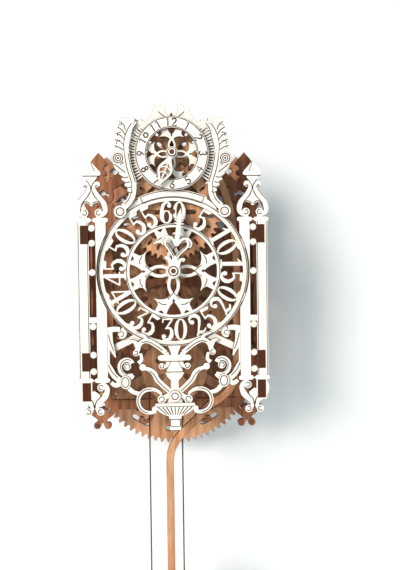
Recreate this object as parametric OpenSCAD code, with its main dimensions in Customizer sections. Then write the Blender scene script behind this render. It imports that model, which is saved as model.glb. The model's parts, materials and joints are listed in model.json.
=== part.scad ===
// A weight-driven wall clock built from flat laser-cut birch plywood pieces, as a three-dimensional
// puzzle: an openwork front with two dials, a case of interlocking boards, a gear train, a pendulum
// and a weight on a cord. X runs to the right, Y from the front towards the wall and Z up. The origin
// is the middle of the nail hole, in the back face of the wall plate.

/* [Case] */
// Depth from the wall to the front face of the ornament
case_depth = 150; // [140:1:180]
// Thickness of the plywood sheet that the case is cut from
ply = 4; // [3.4:0.1:4.8]
// Distance from the front face of the ornament to the front face of the middle plate
mid_set_back = 67; // [64:1:72]
// Distance between the centre lines of the two columns
column_gap = 161; // [158:1:194]
// Height of the nail hole above the main dial's centre
nail_rise = 150; // [146:1:156]
// Radius of the nail hole
nail_r = 3; // [2.5:0.1:3.6]

/* [Dials] */
// Outer radius of the minute ring
ring_r = 76; // [75:0.5:78]
// Outer radius of the ring inside the minute numerals
inner_ring_r = 48; // [46:0.5:49]
// Height of the hour dial's centre above the main dial's centre
hour_rise = 117.5; // [116:0.5:120]
// Outer radius of the hour dial
hour_ring_r = 37; // [35:0.5:38]

/* [Gears] */
// Thickness of the plywood sheet that the wheels are cut from
gear_t = 4; // [3.4:0.1:4.8]
// Tooth size of the great wheel and its pinion
great_module = 2.5; // [2.4:0.01:2.5]
// Tooth size of the other wheels
train_module = 2; // [1.8:0.05:2]
// Gap left between meshing teeth at the pitch circle
backlash = 0.3; // [0.2:0.05:0.4]
// Radius of the plain arbors
arbor_r = 2.5; // [2:0.1:3]
// Radius of the great wheel's arbor
great_arbor_r = 4; // [3.3:0.1:4.8]
// Radial clearance of an arbor in its bearing hole
arbor_fit = 0.07; // [0.05:0.01:0.1]

/* [Drive] */
// Radius of the cord drum
drum_r = 27; // [22:0.5:29]
// Length of the cord drum between its flanges
drum_w = 20; // [16:0.5:24]
// Thickness of the driving cord
cord_d = 1.6; // [1.2:0.1:2]
// Radius of the groove in the weight's pulley
sheave_r = 17; // [14:0.5:20]
// Radius of the weight
weight_r = 22; // [18:0.5:26]
// Height of the weight's body
weight_h = 84; // [70:1:100]

/* [Pendulum] */
// Height of the pendulum's pivot above the main dial's centre
pivot_rise = 130; // [128:0.5:132]
// Distance from the pivot to the middle of the bob
pendulum_l = 483; // [460:1:580]
// Radius of the bob
bob_r = 32; // [27:0.5:38]

/* [Hidden] */
$fn = 48;

birch = "BurlyWood";
birch_face = "Wheat";
birch_dark = "Peru";
tie = 0.02;             // overlap that joins the shapes of one outline
line_w = 0.6;           // width of an engraved line
line_deep = 0.35;       // depth of an engraved line
washer = 1;             // axial gap between neighbours on the arbors

// Heights, measured from the nail hole
hub_z = -nail_rise;
pivot_z = hub_z + pivot_rise;

// Layers, front faces, measured from the wall
front_y = -case_depth;
dial_y = front_y + ply;
dial_back_y = dial_y + ply;
mid_y = front_y + mid_set_back;
mid_back_y = mid_y + ply;
wall_y = -ply;

// Columns
col_x = column_gap / 2;
strip_outer = [3.4, 14.6];      // from the column's centre line, outwards
strip_inner = [-13.8, -3.4];
strip_top = 49;
strip_bottom = -106;
bay_r = ring_r + 0.6;

// Hooks of the side boards: the heights of their middles above the main dial's centre
tab_h = 18;
tab_rise = [37, -90, -120];
side_x = col_x + 3.5;           // inner face of the outer board of each side
side_gap = 0.1;                 // clearance of a hook in its slot

// Tooth numbers
great_n = 76;
leaf_n = 8;
centre_n = 34;
third_n = 36;
fourth_n = 36;
escape_n = 30;
motion_n = 12;
intermediate_n = 48;
motion_leaf_n = 14;
hour_n = 42;
pressure = 25;
leaf_shift = 0.4;               // profile shift of a pinion, and minus that of a wheel
leaf_tip = 1.1;                 // height of a tooth above the pitch circle, in modules
wheel_tip = 0.6;
root_gap = 0.25;                // gap under a meshing tooth, in modules

function pitch_gap(a, b, m) = (a + b) * m / 2;
great_drop = pitch_gap(great_n, leaf_n, great_module);
drum_z = hub_z - great_drop;
great_tip_r = (great_n / 2 + wheel_tip) * great_module;
intermediate_rise = pitch_gap(motion_n, intermediate_n, train_module);
hour_module = 2 * (hour_rise - intermediate_rise) / (motion_leaf_n + hour_n);
escape_r = 24;
anchor_gap = escape_r * sqrt(2);

// Arbor places as [x, height above the main dial's centre]
hub_at = [0, 0];
great_at = [0, -great_drop];
intermediate_at = [0, intermediate_rise];
hour_at = [0, hour_rise];
pivot_at = [0, pivot_rise];
escape_at = [0, pivot_rise - anchor_gap];
fourth_at = escape_at + polar(pitch_gap(fourth_n, leaf_n, train_module), 232);
third_at = meet(hub_at, pitch_gap(centre_n, leaf_n, train_module),
    fourth_at, pitch_gap(third_n, leaf_n, train_module));

// Layers of the motion work, from the dial backwards
leaf_w = 2 * gear_t;
motion_pinion_y = dial_back_y + washer;
intermediate_y = motion_pinion_y + leaf_w / 4;
motion_leaf_y = intermediate_y + gear_t;
hour_wheel_y = motion_leaf_y + leaf_w / 4;
rod_y = hour_wheel_y + gear_t + leaf_w / 2 + 2 * washer;
rod_t = 4;

// Layers of the drum
flange_r = drum_r + 8;
flange_t = 4;
flange_rear_y = mid_y - washer - flange_t;
drum_y = flange_rear_y - drum_w;
flange_front_y = drum_y - flange_t;
cord_y = drum_y + drum_w / 2;

// Layers of the going train, from the middle plate backwards
centre_wheel_y = mid_back_y + 3;
third_wheel_y = centre_wheel_y + 2 * gear_t;
fourth_wheel_y = third_wheel_y + 2 * gear_t;
great_y = mid_back_y + 29;
escape_y = fourth_wheel_y + 2 * gear_t + 2;
ratchet_y = great_y - gear_t - washer / 2;
ratchet_r = 21;

// The cord and the weight
cord_run_r = drum_r + cord_d / 2 + 0.05;
sheave_run_r = sheave_r + cord_d / 2;
cord_left_x = -cord_run_r;
cord_right_x = cord_left_x + 2 * sheave_run_r;
sheave_x = (cord_left_x + cord_right_x) / 2;
sheave_z = pivot_z - pendulum_l - 19;
post_z = drum_z - flange_r - 12;
post_r = 3;
sheave_w = 7;
sheave_rim = 3;
strap_t = 3;
strap_drop = sheave_r + sheave_rim + 26;
weight_top_z = sheave_z - strap_drop;
weight_wall = 3;

// The pendulum
bob_z = pivot_z - pendulum_l;
rod_w = 8;
rod_low_x = -6;
bob_t = 12;
rod_fit = 0.1;

// ---- Geometry helpers ----

function polar(r, a) = [r * cos(a), r * sin(a)];
function bearing_to(a, b) = atan2(b[1] - a[1], b[0] - a[0]);

// The point left of the line from a to b that is ra from a and rb from b
function meet(a, ra, b, rb) =
    let (d = norm(b - a), along = (d * d + ra * ra - rb * rb) / (2 * d),
        off = sqrt(ra * ra - along * along))
    let (u = (b - a) / d)
    a + along * u + off * [-u[1], u[0]];

// Curves as lists of points
function arc(c, r, from, to, n = 10) = [for (i = [0:n]) c + polar(r, from + (to - from) * i / n)];
function spiral(c, r0, r1, from, to, n = 14) =
    [for (i = [0:n]) c + polar(r0 + (r1 - r0) * i / n, from + (to - from) * i / n)];
function bezier(a, b, c, d, n = 8) =
    [for (i = [0:n]) let (t = i / n, s = 1 - t)
        s * s * s * a + 3 * s * s * t * b + 3 * s * t * t * c + t * t * t * d];
function knot(p, i) = p[max(0, min(len(p) - 1, i))];
function spline_at(p, i, t) =
    let (a = knot(p, i - 1), b = knot(p, i), c = knot(p, i + 1), d = knot(p, i + 2))
    0.5 * (2 * b + (c - a) * t + (2 * a - 5 * b + 4 * c - d) * t * t + (3 * b - a - 3 * c + d) * t * t * t);
function spline(p, n = 3) =
    concat([for (i = [0:len(p) - 2], k = [0:n - 1]) spline_at(p, i, k / n)], [p[len(p) - 1]]);
function side_of(p, i) =
    let (q = knot(p, i + 1) - knot(p, i - 1)) [-q[1], q[0]] / max(norm(q), 0.001);

// A band along a path, its width going from w0 through wm in the middle to w1
module band(p, w0, w1, wm = undef) {
    mid_w = is_undef(wm) ? (w0 + w1) / 2 : wm;
    last = len(p) - 1;
    width = [for (i = [0:last]) let (t = i / last)
        t < 0.5 ? w0 + (mid_w - w0) * 2 * t : mid_w + (w1 - mid_w) * (2 * t - 1)];
    polygon(concat([for (i = [0:last]) p[i] + side_of(p, i) * width[i] / 2],
        [for (i = [last:-1:0]) p[i] - side_of(p, i) * width[i] / 2]));
}

// A disc with as many sides as its size needs
module dot(c, r) {
    translate(c) circle(r, $fn = max(8, min(20, 2 * floor(2 + 1.5 * r))));
}

module both_sides() {
    children();
    mirror([1, 0]) children();
}

// A bar with round ends from a to b
module bar(a, b, w) {
    band([a, b], w, w);
    dot(a, w / 2);
    dot(b, w / 2);
}

module ring(r_out, r_in) {
    difference() {
        circle(r_out, $fn = 64);
        circle(r_in, $fn = 64);
    }
}

// A sheet piece in the X-Z plane, with its outline measured from the main dial's centre
module sheet(y, t) {
    translate([0, y + t, hub_z]) rotate([90, 0, 0]) linear_extrude(t) offset(delta = tie) children();
}

// Engraved lines in the front face of a sheet piece
module engraving(y) {
    translate([0, y + line_deep, hub_z]) rotate([90, 0,
        0]) linear_extrude(1) offset(delta = tie) children();
}

// A round rod or hole along Y at a place measured from the main dial's centre
module rod_along(at, y0, y1, r) {
    translate([at[0], y1, hub_z + at[1]]) rotate([90, 0, 0]) cylinder(h = y1 - y0, r = r);
}

module bearing_hole(at, y, t, r = arbor_r) {
    rod_along(at, y - 1, y + t + 1, r + arbor_fit);
}

// ---- Teeth ----

function roll(a) = tan(a) * 180 / PI - a;
function base_r(n, m) = n * m / 2 * cos(pressure);
// Half the angle of a tooth at radius r
function tooth_half(n, m, shift, r) =
    90 / n + 2 * shift * tan(pressure) / n * 180 / PI + roll(pressure)
    - roll(acos(min(1, base_r(n, m) / r))) - backlash / 4 / r * 180 / PI;
// Straight pieces in one side of a tooth
function flank_steps(n) = n > 20 ? 2 : 3;
function flank(n, m, shift, tip, root) =
    let (rb = max(base_r(n, m), root), steps = flank_steps(n))
    [for (i = [0:steps]) let (r = rb + (tip - rb) * i / steps) [r, tooth_half(n, m, shift, r)]];
function tooth(n, m, shift, tip, root, at) =
    let (f = flank(n, m, shift, tip, root), foot = f[0][1])
    concat([polar(root, at - foot)], root < f[0][0] - 0.05 ? [polar(f[0][0], at - foot)] : [],
        [for (i = [1:flank_steps(n)]) polar(f[i][0], at - f[i][1])],
        [for (i = [flank_steps(n):-1:1]) polar(f[i][0], at + f[i][1])],
        root < f[0][0] - 0.05 ? [polar(f[0][0], at + foot)] : [], [polar(root, at + foot)]);

module teeth(n, m, shift, above, below, phase) {
    r = n * m / 2;
    polygon([for (k = [0:n - 1]) each tooth(n, m, shift, r + above * m, r - below * m,
        phase + k * 360 / n)]);
}

module wheel_teeth(n, m, phase) {
    teeth(n, m, -leaf_shift, wheel_tip, leaf_tip + root_gap, phase);
}

module leaf_teeth(n, m, phase) {
    teeth(n, m, leaf_shift, leaf_tip, wheel_tip + root_gap, phase);
}

// The phase of gear b so that it meshes with gear a, with b at the given bearing from a
function mesh_phase(bearing, phase_a, n_a, n_b) =
    bearing + 180 - (0.5 - (bearing - phase_a) * n_a / 360) * 360 / n_b;

centre_leaf_phase = mesh_phase(90, 0, great_n, leaf_n);
intermediate_phase = mesh_phase(90, 0, motion_n, intermediate_n);
hour_phase = mesh_phase(90, 0, motion_leaf_n, hour_n);
third_leaf_phase = mesh_phase(bearing_to(hub_at, third_at), 0, centre_n, leaf_n);
fourth_leaf_phase = mesh_phase(bearing_to(third_at, fourth_at), 0, third_n, leaf_n);
escape_leaf_phase = mesh_phase(bearing_to(fourth_at, escape_at), 0, fourth_n, leaf_n);

// A gear in its own layer; its arbor is a push fit in the bore
module gear_body(at, y, t, bore) {
    difference() {
        translate([at[0], y + t, hub_z + at[1]]) rotate([90, 0,
            0]) linear_extrude(t) offset(delta = tie) children();
        rod_along(at, y - 1, y + t + 1, bore);
    }
}

// Windows of a wheel: sectors between two radii, with spokes left between them
module spoke_windows(r0, r1, count, spoke_w, turn = 0) {
    for (k = [0:count - 1]) rotate(turn + k * 360 / count) {
        a0 = asin(spoke_w / 2 / r0);
        a1 = asin(spoke_w / 2 / r1);
        step = 360 / count;
        polygon(concat(arc([0, 0], r0, a0, step - a0, 6), arc([0, 0], r1, step - a1, a1, 12)));
    }
}

// Rounded slots that lie across the radius
module rim_slots(r, count, l, w, turn = 0) {
    for (k = [0:count - 1]) rotate(turn + k * 360 / count) {
        band(arc([0, 0], r, -l / 2 / r * 57.3, l / 2 / r * 57.3, 2), w, w);
        dot(polar(r, -l / 2 / r * 57.3), w / 2);
        dot(polar(r, l / 2 / r * 57.3), w / 2);
    }
}

// Rounded slots that point at the middle
module ray_slots(r0, r1, count, w, turn = 0) {
    for (k = [0:count - 1]) rotate(turn + k * 360 / count) bar([r0 + w / 2, 0], [r1 - w / 2, 0], w);
}

// ---- Numerals ----

num_h = 22.4;
thick = 4.2;
thin = 1.5;

module numeral(d) {
    h = num_h;
    if (d == 0) difference() {
        scale([6.6, h / 2]) translate([0, 1]) circle(1, $fn = 20);
        translate([0, h / 2]) scale([2.7, h / 2 - thin]) circle(1, $fn = 16);
    }
    if (d == 1) {
        translate([-thick / 2, 0]) square([thick, h]);
        translate([-4.6, 0]) square([9.2, thin]);
        polygon([[-1, h], [-5.6, h - 5], [-4.8, h - 5.8], [-1, h - 3.6]]);
    }
    if (d == 2) {
        dot([-3.6, h - 6.4], 2.4);
        band(spline([[-5.4, h - 7], [-4.6, h - 2.2], [0.4, h - 0.9], [4.4, h - 5.4], [1.6, h - 12],
            [-4.6, 2.6]], 2), 1.4, 1.6, 4.4);
        band(spline([[-6, 1.2], [-2.6, 3.6], [2, 1.8], [5.8, 4.4]], 2), 1.6, 1.4, 3.8);
    }
    if (d == 3) {
        translate([-5.4, h - thin]) square([10.8, thin]);
        translate([-5.4, h - 4.4]) square([thin, 4.4]);
        band([[5, h - 1], [-1.6, 12.4]], 1.8, 1.8);
        band(spline([[-2.4, 12.2], [2.6, 12.6], [4.4, 7.2], [1.8, 1.8], [-3, 1.1], [-5.4, 4]], 2), 1.5,
            1.6, 4.6);
        dot([-3.8, 4.4], 2.4);
    }
    if (d == 4) {
        translate([0.4, 0]) square([thick, h]);
        translate([-2, 0]) square([9, thin]);
        band([[-6.6, 6.2], [1.4, h - 1]], 1.7, 1.7);
        translate([-7.2, 5.4]) square([14, 1.7]);
    }
    if (d == 5) {
        polygon([[-4.4, h], [-4.4, 11.6], [-2.9, 12.4], [-2.9, h - 3], [3.6, h - 3.4], [5.8, h + 0.4],
            [4.8, h]]);
        band(spline([[-4, 12], [0.4, 13.8], [4.4, 8], [2.2, 2], [-2.8, 1.1], [-5.4, 4]], 2), 1.5, 1.6, 4.6);
        dot([-3.8, 4.4], 2.4);
    }
    if (d == 6) {
        difference() {
            translate([0.2, 6.8]) scale([6.4, 6.9]) circle(1, $fn = 18);
            translate([0.6, 6.8]) scale([2.5, 5.4]) circle(1, $fn = 14);
        }
        band(spline([[-4.3, 6], [-4.2, 12], [-2.6, h - 3.6], [1.6, h - 0.9], [4.8, h - 3]], 3), 4.2,
            1.4, 3.6);
        dot([3.4, h - 4.4], 2.3);
    }
}

// A numeral pair, its foot towards the middle of the dial, or its head if it is turned over
module number_at(value, angle, over = false) {
    rotate(angle) translate([0, (ring_r + inner_ring_r) / 2 - 3]) rotate(over ? 180 : 0) translate([0,
        -num_h / 2])
        if (value < 10) numeral(value);
        else {
            translate([-6.7, 0]) numeral(floor(value / 10));
            translate([6.7, 0]) numeral(value % 10);
        }
}

// Small numerals of the hour dial, as single lines in a box 0.6 wide and 1 high
function plain_strokes(d) =
    d == 0 ? [arc([0.3, 0.5], 0.32, 0, 360, 6)] :
    d == 1 ? [[[0.1, 0.8], [0.32, 1], [0.32, 0]]] :
    d == 2 ? [concat(arc([0.3, 0.72], 0.26, 170, -30, 6), [[0.02, 0], [0.6, 0]])] :
    d == 3 ? [concat(arc([0.28, 0.75], 0.24, 150, -90, 6), arc([0.28, 0.26], 0.26, 90, -150, 6))] :
    d == 4 ? [[[0.45, 0], [0.45, 1], [0, 0.3], [0.62, 0.3]]] :
    d == 5 ? [concat([[0.55, 1], [0.12, 1], [0.08, 0.55]], arc([0.28, 0.32], 0.3, 110, -150, 6))] :
    d == 6 ? [concat([[0.5, 1]], arc([0.3, 0.3], 0.28, 150, 510, 6))] :
    d == 7 ? [[[0, 1], [0.58, 1], [0.18, 0]]] :
    d == 8 ? [arc([0.3, 0.75], 0.22, 0, 360, 6), arc([0.3, 0.27], 0.27, 0, 360, 6)] :
    [concat(arc([0.3, 0.7], 0.28, -30, 330, 6), [[0.12, 0]])];

module plain_digit(d, h) {
    for (s = plain_strokes(d)) band(s * h, 0.14 * h, 0.14 * h);
}

module plain_number(value, h) {
    if (value < 10) translate([-0.3 * h, -h / 2]) plain_digit(value, h);
    else {
        translate([-0.78 * h, -h / 2]) plain_digit(floor(value / 10), h);
        translate([0.08 * h, -h / 2]) plain_digit(value % 10, h);
    }
}

// ---- Ornament outlines ----

// Crossed ribbons that end in two flowers, pointing down from the middle
module tulip_arm() {
    both_sides() {
        band(spline([[2.6, -5], [4.6, -11], [4.5, -17], [2.2, -22], [-2.4, -27], [-7, -32]]), 3.6, 6.4,
            3.4);
        polygon(concat(
            bezier([-3, -25.5], [-8, -28.4], [-14, -29.4], [-20.3, -27], 4),
            bezier([-20.3, -27], [-17.4, -29.6], [-15.6, -31.6], [-16, -33.6], 2),
            bezier([-16, -33.6], [-17.4, -36], [-18.6, -38.4], [-19.6, -41.6], 2),
            bezier([-19.6, -41.6], [-16.4, -41.2], [-14, -40.6], [-12.4, -39.4], 2),
            bezier([-12.4, -39.4], [-10.4, -41.6], [-9.2, -44], [-8.2, -46.6], 2),
            bezier([-8.2, -46.6], [-6.6, -40], [-4.6, -35.6], [-0.6, -31.6], 4)));
    }
}

module tulip_cross() {
    for (k = [0:3]) rotate(90 * k) tulip_arm();
    circle(8);
}

// The top of a column, above the strips, about the column's centre line
module finial() {
    polygon([[-8.5, strip_top + 50.8], [0, strip_top + 60.5], [8.5, strip_top + 50.8]]);
    bar([-7.4, strip_top + 48.6], [7.4, strip_top + 48.6], 5);
    polygon([[-7, strip_top + 47], [7, strip_top + 47], [1.4, strip_top + 35], [-1.4, strip_top + 35]]);
    both_sides() {
        dot([6, strip_top + 38], 3.1);
        band(spline([[7.4, strip_top + 40], [4, strip_top + 38.6], [2.4, strip_top + 34], [6,
            strip_top + 26.6],
            [12, strip_top + 19], [13.6, strip_top + 11], [9.4, strip_top + 7.2], [5.6,
                strip_top + 9.6]]), 2.4, 3, 6.4);
        dot([6.9, strip_top + 9.8], 4.1);
        translate([4.4, strip_top + 4]) square([5, 3]);
        bar([2.9, strip_top + 2.5], [13.9, strip_top + 2.5], 5);
        bar([13.9, strip_top + 2.5], [-13.9, strip_top + 2.5], 1.4);
    }
    polygon(concat([[0, strip_top + 33]], arc([6.2, strip_top + 14.6], 5.2, 20, 160, 6),
        arc([-6.2, strip_top + 14.6], 5.2, 20, 160, 6), [[-3, strip_top + 30]]));
}

module finial_lines() {
    both_sides() {
        band(spline([[8.6, strip_top + 42.4], [4.6, strip_top + 42], [0.5, strip_top + 36], [0.4,
            strip_top + 32]]), 0.5, 0.7);
        band(spline([[7.6, strip_top + 35.6], [5, strip_top + 36.8], [5, strip_top + 33.6], [9,
            strip_top + 27.6],
            [15.6, strip_top + 19.6], [17.2, strip_top + 11]]), 0.5, 0.6);
        band(spline([[0.5, strip_top + 31.6], [3.4, strip_top + 26], [9.4, strip_top + 18.4], [10.4,
            strip_top + 12]]), 0.7, 0.5);
        band(arc([5.4, strip_top + 16.4], 4.4, 10, 165, 8), 0.6, 0.6);
        band(arc([6.9, strip_top + 9.8], 2.3, 80, 330, 7), 0.5, 0.5);
    }
    translate([-9.9, strip_top + 45.8]) square([19.8, line_w]);
    band([[0, strip_top + 59.6], [-3.4, strip_top + 51]], 0.45, 0.45);
}

// The foot of a column, below the strips
module column_foot() {
    both_sides() {
        bar([2.9, strip_bottom - 2.5], [13.6, strip_bottom - 2.5], 5);
        bar([13.6, strip_bottom - 2.5], [-13.6, strip_bottom - 2.5], 1.4);
        dot([6.7, strip_bottom - 9.6], 4);
        band(spline([[5, strip_bottom - 7.4], [9.6, strip_bottom - 6.6], [13, strip_bottom - 11],
            [10.6, strip_bottom - 19],
            [4.4, strip_bottom - 25], [2.2, strip_bottom - 30.6], [5.4, strip_bottom - 36.4]]), 2.6,
                2.8, 6.2);
        dot([5.9, strip_bottom - 34], 4);
    }
    polygon([[-6, strip_bottom - 17], [0, strip_bottom - 12.6], [6, strip_bottom - 17], [3,
        strip_bottom - 27], [-3, strip_bottom - 27]]);
}

module foot_lines() {
    both_sides() {
        band(arc([6.7, strip_bottom - 9.6], 2.3, 30, 300, 7), 0.5, 0.5);
        band(arc([5.9, strip_bottom - 34], 2.2, 60, 330, 7), 0.5, 0.5);
        band(spline([[9, strip_bottom - 12], [7, strip_bottom - 18], [1.6, strip_bottom - 24], [0.4,
            strip_bottom - 30]]), 0.5, 0.7);
    }
}

// Plate outline of a column: two strips with the finial above and the foot below
module column_outline() {
    for (s = [strip_outer, strip_inner]) translate([s[0], strip_bottom]) square([s[1] - s[0],
        strip_top - strip_bottom]);
    finial();
    column_foot();
}

bead_z = [43.5, 28.6, -0.5, -54.4, -82.8, -99.4];
bead_square_z = -48;

module column_2d() {
    difference() {
        union() {
            column_outline();
            for (z = bead_z) dot([0, z], 3.6);
            translate([-3.5, bead_square_z - 3]) square([7, 6]);
            translate([side_x - col_x - 1.6, tab_rise[2] - tab_h / 2 - 1.6])
                square([2 * ply + 3.2, tab_h + 3.2]);
        }
        translate([-col_x, 0]) circle(bay_r, $fn = 72);
    }
}

module side_mirror(s) {
    if (s > 0) children();
    else mirror([1, 0, 0]) children();
}

// Slots for the hooks of the side boards; s is +1 for the right side
module hook_slots(y, t, x0, x1) {
    for (z = tab_rise) translate([x0 - side_gap, y - 1, hub_z + z - tab_h / 2 - side_gap])
        cube([x1 - x0 + 2 * side_gap, t + 2, tab_h + 2 * side_gap]);
}

module column(s) {
    color(birch_face) side_mirror(s) difference() {
        sheet(front_y, ply) translate([col_x, 0]) column_2d();
        engraving(front_y) translate([col_x, 0]) {
            finial_lines();
            foot_lines();
            for (x = [strip_outer[0] + 0.9, strip_outer[1] - 1.3]) translate([x,
                strip_bottom]) square([0.45, strip_top - strip_bottom]);
        }
        hook_slots(front_y, ply, side_x, side_x + 2 * ply);
    }
}

// ---- Front pieces ----

module crown_2d() {
    both_sides() translate([0, hour_rise]) polygon(concat([[0, 30], [0, 38]], arc([0, 44.4], 6.4, -90, 0, 6),
        [[6.6, 51.5]], bezier([6.6, 51.5], [10, 49.4], [14, 47.4], [18, 46.6], 4),
        bezier([18, 46.6], [18.2, 42.6], [20.4, 37.4], [27, 30.8], 5), [[26, 24]]));
}

module banner_2d() {
    band(arc([0, 0], ring_r + 1.6, 64.6, 115.4, 20), 9, 9);
    both_sides() {
        band(arc([0, 0], ring_r + 0.6, 56, 66, 6), 3, 8.4, 6);
        dot(polar(ring_r + 1.4, 57), 3.2);
    }
}

rib_step = 4.1;
rib_count = 20;

module rib_bands_2d() {
    both_sides() translate([0, hour_rise]) {
        band(arc([0, 0], hour_ring_r + 8.4, -42, 50, 20), 1.8, 1.8);
        for (k = [0:rib_count - 1]) rotate(-36 + k * rib_step)
            translate([hour_ring_r - 1, -0.85]) square([9.6, 1.7]);
    }
}

module dial_plate_2d() {
    ring(ring_r, ring_r - 5.5);
    ring(inner_ring_r, inner_ring_r - 4);
    tulip_cross();
    for (k = [1:12]) number_at(5 * k, -30 * k, k >= 4 && k <= 8);
    banner_2d();
    crown_2d();
    rib_bands_2d();
    translate([0, hour_rise]) {
        ring(hour_ring_r + 0.6, hour_ring_r - 9);
        for (k = [0:3]) rotate(90 * k) scale(0.62) tulip_arm();
        circle(5.6);
    }
    // Ears behind the columns and the lower panel, which the pegs join
    both_sides() {
        bar(polar(ring_r - 3, 20), [col_x - 8, 28.6], 9);
        bar(polar(ring_r - 3, -20), [col_x - 8, -28.6], 9);
        bar(polar(ring_r - 3, -62), [col_x - 9, -82], 7);
        bar(polar(ring_r - 3, -50), [53, -62.4], 8);
        bar(polar(ring_r - 2, 48), [52.5, 62], 7);
        bar([38.5, hour_rise + 31], [24, hour_rise + 28], 8);
    }
}

module dial_lines() {
    ring(ring_r - 0.9, ring_r - 1.4);
    ring(inner_ring_r - 0.7, inner_ring_r - 1.2);
    // border of the banner
    both_sides() {
        band(arc([0, 0], ring_r + 5, 66.6, 90, 10), 0.5, 0.5);
        band(arc([0, 0], ring_r - 1.9, 66.6, 90, 10), 0.5, 0.5);
        band([polar(ring_r + 5, 66.6), polar(ring_r - 1.9, 66.6)], 0.5, 0.5);
        band(bezier([1, hour_rise + 36], [8, hour_rise + 36], [11, hour_rise + 41], [13,
            hour_rise + 42.4], 6), 0.5, 0.5);
    }
    for (k = [0:3]) rotate(90 * k) both_sides() {
        band(spline([[-0.8, -20.8], [2.6, -24.4], [5.6, -28.6]]), 0.5, 0.5);
        band(spline([[-15.6, -31], [-11.6, -33.4], [-7.4, -33.6]]), 0.5, 0.5);
    }
}

module dial_plate() {
    color(birch_face) difference() {
        sheet(dial_y, ply) dial_plate_2d();
        engraving(dial_y) dial_lines();
        bearing_hole(hub_at, dial_y, ply);
        bearing_hole(intermediate_at, dial_y, ply);
        bearing_hole(hour_at, dial_y, ply);
        for (s = [-1, 1], p = concat(ornament_peg_at, panel_peg_at)) side_mirror(s) rod_along(p,
            dial_y - 1, dial_back_y + 1, peg_r);
    }
}

module hour_dial() {
    color(birch_face) difference() {
        sheet(front_y, ply) translate([0, hour_rise]) ring(hour_ring_r, hour_ring_r - 11.5);
        engraving(front_y) translate([0, hour_rise]) {
            ring(hour_ring_r - 0.9, hour_ring_r - 1.4);
            ring(hour_ring_r - 10.4, hour_ring_r - 10.9);
            for (k = [1:12]) rotate(-30 * k) translate([0, hour_ring_r - 5.85])
                rotate(k >= 4 && k <= 8 ? 180 : 0) plain_number(k, 7.55);
        }
    }
}

// The lower panel of scrolls between the columns
c_scroll = [25.2, -130.2];
module scroll_half() {
    w = 5.2;
    // curl that hangs on the column
    band(spline([[col_x - 9, -60], [61, -57.4], [54, -57.6]]), 7, 4.6);
    band(spiral([53, -62.4], 4.8, 2.4, 90, 300, 10), 3.6, 4.4);
    dot([53, -62.4], 3.2);
    band(spline([[66, -58], [64.6, -70], [61.4, -79], [58.8, -86]]), 9, 1, 6);
    band([[65.6, -60], [65.6, -96]], 2, 2);
    // leaf and hooked arm
    band(spline([[44.6, -68.8], [39.4, -70.8], [36.4, -76.4], [38.6, -81.4]]), 1, 4.6, 6);
    dot([38.4, -81.6], 3.4);
    band(spline([[37, -78], [33.6, -71.6], [27, -69.4], [17.6, -74.4], [8.6, -82]]), 4, w, w);
    band(spline([[8.6, -82], [6.2, -89], [8.2, -95], [13, -96.4]]), w, 3);
    dot([12.9, -95.4], 3.4);
    band(spline([[27, -71], [30, -64.6], [38, -62]]), 4, 1, 3.4);
    // bracket under the arm
    band(spline([[32, -97], [25.6, -98.4], [20.5, -102.6], [16.7, -110], [3, -122.7]]), 3, 5.6, 5.8);
    dot([32, -96.2], 3.6);
    // large spiral, hung from the column and running into the oval
    band(spline([[col_x - 10, -89], [64.6, -97], [60, -104.6], [53, -110]]), 7, 6, 6);
    band(spiral([46.8, -94.6], 10.6, 5.2, -120, 150, 20), 4.6, 4.6);
    dot([47.4, -95], 4);
    band(spline([[41.6, -103.6], [44, -106.6], [48, -108.6]]), 4, 5);
    band(spline([[36.4, -92], [33, -88.4], [34, -82]]), 4.6, 3);
    // links to the C-scroll
    band(spline([[49.4, -110.6], [46, -116.8], [41.4, -121], [35, -122.6]]), 5.6, 4.2);
    band(arc(c_scroll, 11.8, -120, 92, 20), 3.8, 4.4);
    band(spiral(c_scroll, 11.8, 13.2, 92, 152, 8), 4.4, 3);
    dot([20.6, -138.4], 3);
    dot([13.4, -128.8], 4.5);
    bar([13.4, -128.8], [3, -122.7], 5);
    bar([13.4, -128.8], [13.6, -134.6], 3.6);
    // foot of the curve that meets the column's base
    band(spline([[53, -110], [59, -113.8], [63.8, -110.6]]), 6, 4);
}

module vase_2d() {
    both_sides() polygon(concat([[0, -74.6], [6.6, -74.6]], bezier([6.6, -74.6], [5.4, -79], [3.6,
        -81], [3.2, -85], 4),
        bezier([3.2, -89], [4, -94], [8, -97], [8.4, -101.4], 5), [[9.6, -101.8], [7.4, -106.6], [4,
            -110], [4, -121], [0, -121]]));
    bar([-14, -87], [14, -87], 6);
}

// The urn at the foot of the panel
module urn_2d() {
    bar([-18.6, -134.4], [18.6, -134.4], 3.4);
    both_sides() polygon(concat([[0, -124], [5.8, -125.6], [7, -131], [10, -134]], bezier([19.6,
        -135.4], [19, -143], [9, -145], [4.6, -147], 8),
        [[4.4, -155.4], [5.6, -156.6], [5.6, -160.4], [0, -160.4]]));
    bar([-5.4, -147.6], [5.4, -147.6], 2.6);
}

// Gadroons of the urn's bowl, and the rings of its stem
module urn_lines() {
    for (k = [-4:4]) band([[k * 4.2, -137], [k * 2.1, -144.4]], 0.9, 0.5);
    for (z = [-136.4, -132.6]) band([[-19, z], [19, z]], 0.5, 0.5);
    for (z = [-149.4, -156.4]) band([[-4.8, z], [4.8, z]], 0.5, 0.5);
}

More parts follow.
